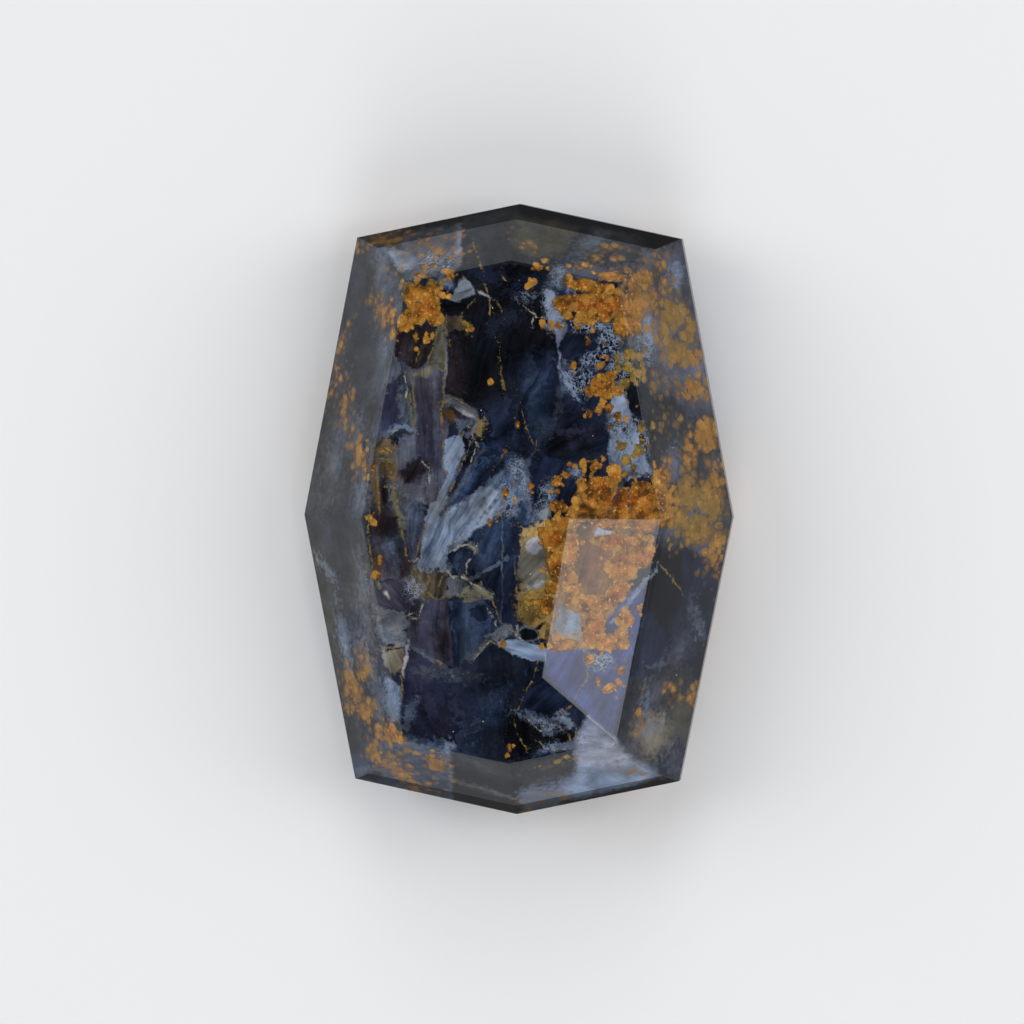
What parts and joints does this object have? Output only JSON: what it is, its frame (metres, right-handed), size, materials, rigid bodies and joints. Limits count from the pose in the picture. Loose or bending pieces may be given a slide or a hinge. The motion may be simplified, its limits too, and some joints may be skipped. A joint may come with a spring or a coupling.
{
  "type": "faceted pietersite gemstone",
  "caption": "Cut and polished pietersite gemstone: long eight-sided outline, low faceted crown, flat back; dark blue with orange and pale fibrous patches.",
  "frame": {"origin": "middle of the outline's box, in the plane of the flat back", "axes": "+Y along the stone's length, +X across it, +Z out of the faceted crown"},
  "size_m": [0.0092, 0.013, 0.0037],
  "materials": {
    "polished_pietersite": "polished"
  },
  "bodies": {
    "root": {"pietersite_gem": "polished_pietersite"}
  },
  "joints": []
}
